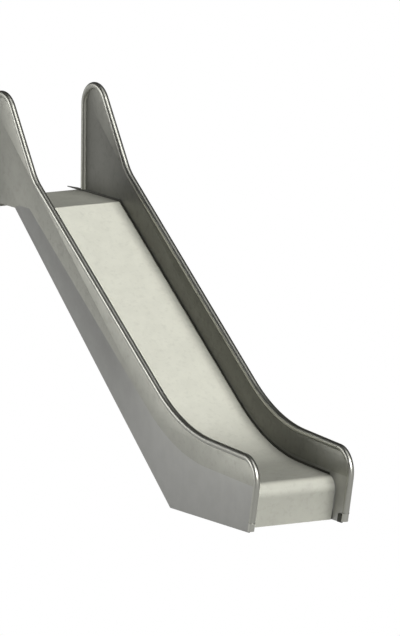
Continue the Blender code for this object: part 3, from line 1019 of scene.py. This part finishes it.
    def build_shoe_weld(self) -> None:
        """Lay the ring of weld between the rim tube and its shoe."""
        s = self.lines.sizes
        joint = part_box(self.name("nose_rim"))[0].z + s.tube_radius * math.sin(s.front_lean)
        centre = Vector((self.side.value * s.rim_x, s.nose_foot_y - joint * math.tan(s.front_lean), joint))
        tilt = Matrix.Rotation(s.front_lean, 3, "X")
        count = 64
        ring = []
        for index in range(count + 1):
            angle = math.tau * index / count
            ring.append(centre + tilt @ Vector((math.cos(angle), math.sin(angle), 0.0)) * s.tube_radius)
        values = {
            "Radius": self.shoe_weld_radius, "Sides": 8, "Ripple": 0.08, "Ripple Pitch": 0.004,
            "Finish": self.finishes.weld,
        }
        name = self.name("shoe_weld")
        weld = grow(name, wire_mesh(name, ring), self.sweep.tree, values, self.finishes.weld)
        fit_piece(weld, Slot.PLAIN)

    def dress_foot(self, frame: dict) -> None:
        """Give the shoe and the foot bracket their finish."""
        # The foot bracket takes the corner strip's dark finish, which is painted shade.
        for word, material in (("foot_shoe", self.finishes.shoe), ("foot_bracket", self.finishes.strip)):
            node = frame["nodes"][self.name(word)]
            node.data.materials.clear()
            node.data.materials.append(material)


@dataclass(frozen=True)
class SoftLight:
    """A soft patch of light in the studio's sky.

    Attributes:
        azimuth: Degrees from the exit's side towards +X.
        elevation: Degrees above the horizon.
        spread: Degrees from the patch's middle to where it has faded out.
        strength: Brightness in its middle.
    """

    azimuth: float
    elevation: float
    spread: float
    strength: float

    @property
    def direction(self) -> tuple[float, float, float]:
        """Unit direction from the slide to the light."""
        around, up = math.radians(self.azimuth), math.radians(self.elevation)
        return (math.sin(around) * math.cos(up), -math.cos(around) * math.cos(up), math.sin(up))


@dataclass
class Studio:
    """Plain pale floor, soft light from above and the photograph's camera."""

    azimuth: float = math.radians(-30.0)
    elevation: float = math.radians(10.0)
    distance: float = 91.733
    lens_mm: float = 1050.0
    sensor_mm: float = 36.0
    aim: tuple[float, float, float] = (0.0037, 0.809, 0.9010)
    floor_half: float = 60.0
    floor_glow: float = 0.52
    floor_white: float = 0.12
    ambient: float = 0.02
    lights: tuple[SoftLight, ...] = (
        SoftLight(azimuth=0.0, elevation=30.0, spread=22.0, strength=21.0),
        SoftLight(azimuth=0.0, elevation=78.0, spread=18.0, strength=3.0),
        SoftLight(azimuth=-120.0, elevation=8.0, spread=22.0, strength=5.0),
        SoftLight(azimuth=-150.0, elevation=8.0, spread=22.0, strength=0.7),
    )

    def build(self) -> None:
        """Build the floor, the light and the camera."""
        self.build_floor()
        self.build_sky()
        self.build_camera()
        bpy.context.scene.view_settings.view_transform = "Standard"

    def build_floor(self) -> None:
        """Lay a wide matt floor that lights the slide from below; the camera sees plain white."""
        mesh = bpy.data.meshes.new("studio_floor")
        shape = bmesh.new()
        bmesh.ops.create_grid(shape, x_segments=1, y_segments=1, size=self.floor_half)
        shape.to_mesh(mesh)
        shape.free()
        material = bpy.data.materials.new("pale_studio_floor")
        material.use_nodes = True
        tree = material.node_tree
        shader = tree.nodes["Principled BSDF"]
        shader.inputs["Base Color"].default_value = (self.floor_white,) * 3 + (1.0,)
        shader.inputs["Roughness"].default_value = 1.0
        shader.inputs["Specular IOR Level"].default_value = 0.0
        shader.inputs["Emission Color"].default_value = (1.0, 1.0, 1.0, 1.0)
        shader.inputs["Emission Strength"].default_value = self.floor_glow
        seen = add_node(tree, "ShaderNodeLightPath").outputs["Is Camera Ray"]
        plain = add_node(tree, "ShaderNodeEmission", {"Color": (1.0, 1.0, 1.0, 1.0), "Strength": 1.0}).outputs[0]
        mixed = add_node(
            tree, "ShaderNodeMixShader", None, {0: seen, 1: shader.outputs[0], 2: plain}
        ).outputs[0]
        tree.links.new(mixed, tree.nodes["Material Output"].inputs["Surface"])
        floor = link_object("studio_floor", mesh, material)

    def build_sky(self) -> None:
        """Light the slide from a dim sky with soft bright patches; the camera sees plain white."""
        world = bpy.data.worlds.new("soft_sky")
        world.use_nodes = True
        bpy.context.scene.world = world
        tree = world.node_tree
        tree.nodes.clear()
        place = add_node(tree, "ShaderNodeTexCoord").outputs["Generated"]
        total = add_node(tree, "ShaderNodeMath", {"operation": "ADD", 0: self.ambient, 1: 0.0}).outputs[0]
        for light in self.lights:
            nearness = add_node(
                tree, "ShaderNodeVectorMath", {"operation": "DOT_PRODUCT", 1: light.direction}, {0: place}
            ).outputs["Value"]
            settings = {
                "interpolation_type": "SMOOTHSTEP", "From Min": math.cos(math.radians(light.spread)),
                "From Max": 1.0, "To Min": 0.0, "To Max": light.strength,
            }
            patch = add_node(tree, "ShaderNodeMapRange", settings, {"Value": nearness}).outputs["Result"]
            total = add_node(tree, "ShaderNodeMath", {"operation": "ADD"}, {0: total, 1: patch}).outputs[0]
        seen = add_node(tree, "ShaderNodeLightPath").outputs["Is Camera Ray"]
        sky = add_node(tree, "ShaderNodeBackground", {"Color": (1.0, 1.0, 1.0, 1.0)}, {"Strength": total})
        plain = add_node(tree, "ShaderNodeBackground", {"Strength": 1.0, "Color": (1.0, 1.0, 1.0, 1.0)})
        mixed = add_node(tree, "ShaderNodeMixShader", None, {0: seen, 1: sky.outputs[0], 2: plain.outputs[0]})
        add_node(tree, "ShaderNodeOutputWorld", None, {"Surface": mixed.outputs[0]})

    def build_camera(self) -> None:
        """Set up the far camera that gives the photograph's almost parallel view."""
        camera = bpy.data.cameras.new("far_camera")
        camera.lens = self.lens_mm
        camera.sensor_width = self.sensor_mm
        camera.clip_start = 1.0
        camera.clip_end = 3 * self.distance
        a, e = self.azimuth, self.elevation
        back = Vector((math.sin(a) * math.cos(e), -math.cos(a) * math.cos(e), math.sin(e)))
        view = bpy.data.objects.new("far_camera", camera)
        view.location = Vector(self.aim) + back * self.distance
        view.rotation_mode = "QUATERNION"
        view.rotation_quaternion = (-back).to_track_quat("-Z", "Y")
        bpy.context.scene.collection.objects.link(view)
        bpy.context.scene.camera = view


def main() -> None:
    """Build the slide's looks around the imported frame."""
    logging.basicConfig(level=logging.INFO, format="%(message)s")
    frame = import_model()
    lines = SlideLines(SlideSizes())
    finishes = Finishes(lines)
    sweep = SweptRound()
    bead = WeldBead(sweep, finishes)
    bed = Bed(lines, finishes, StitchWelds())
    bed.build()
    bed.dress_bars(frame)
    for side in Side:
        cheek = Cheek(side, lines, finishes, sweep, bead)
        cheek.build()
        cheek.dress_foot(frame)
    Studio().build()


if __name__ == "__main__":
    main()
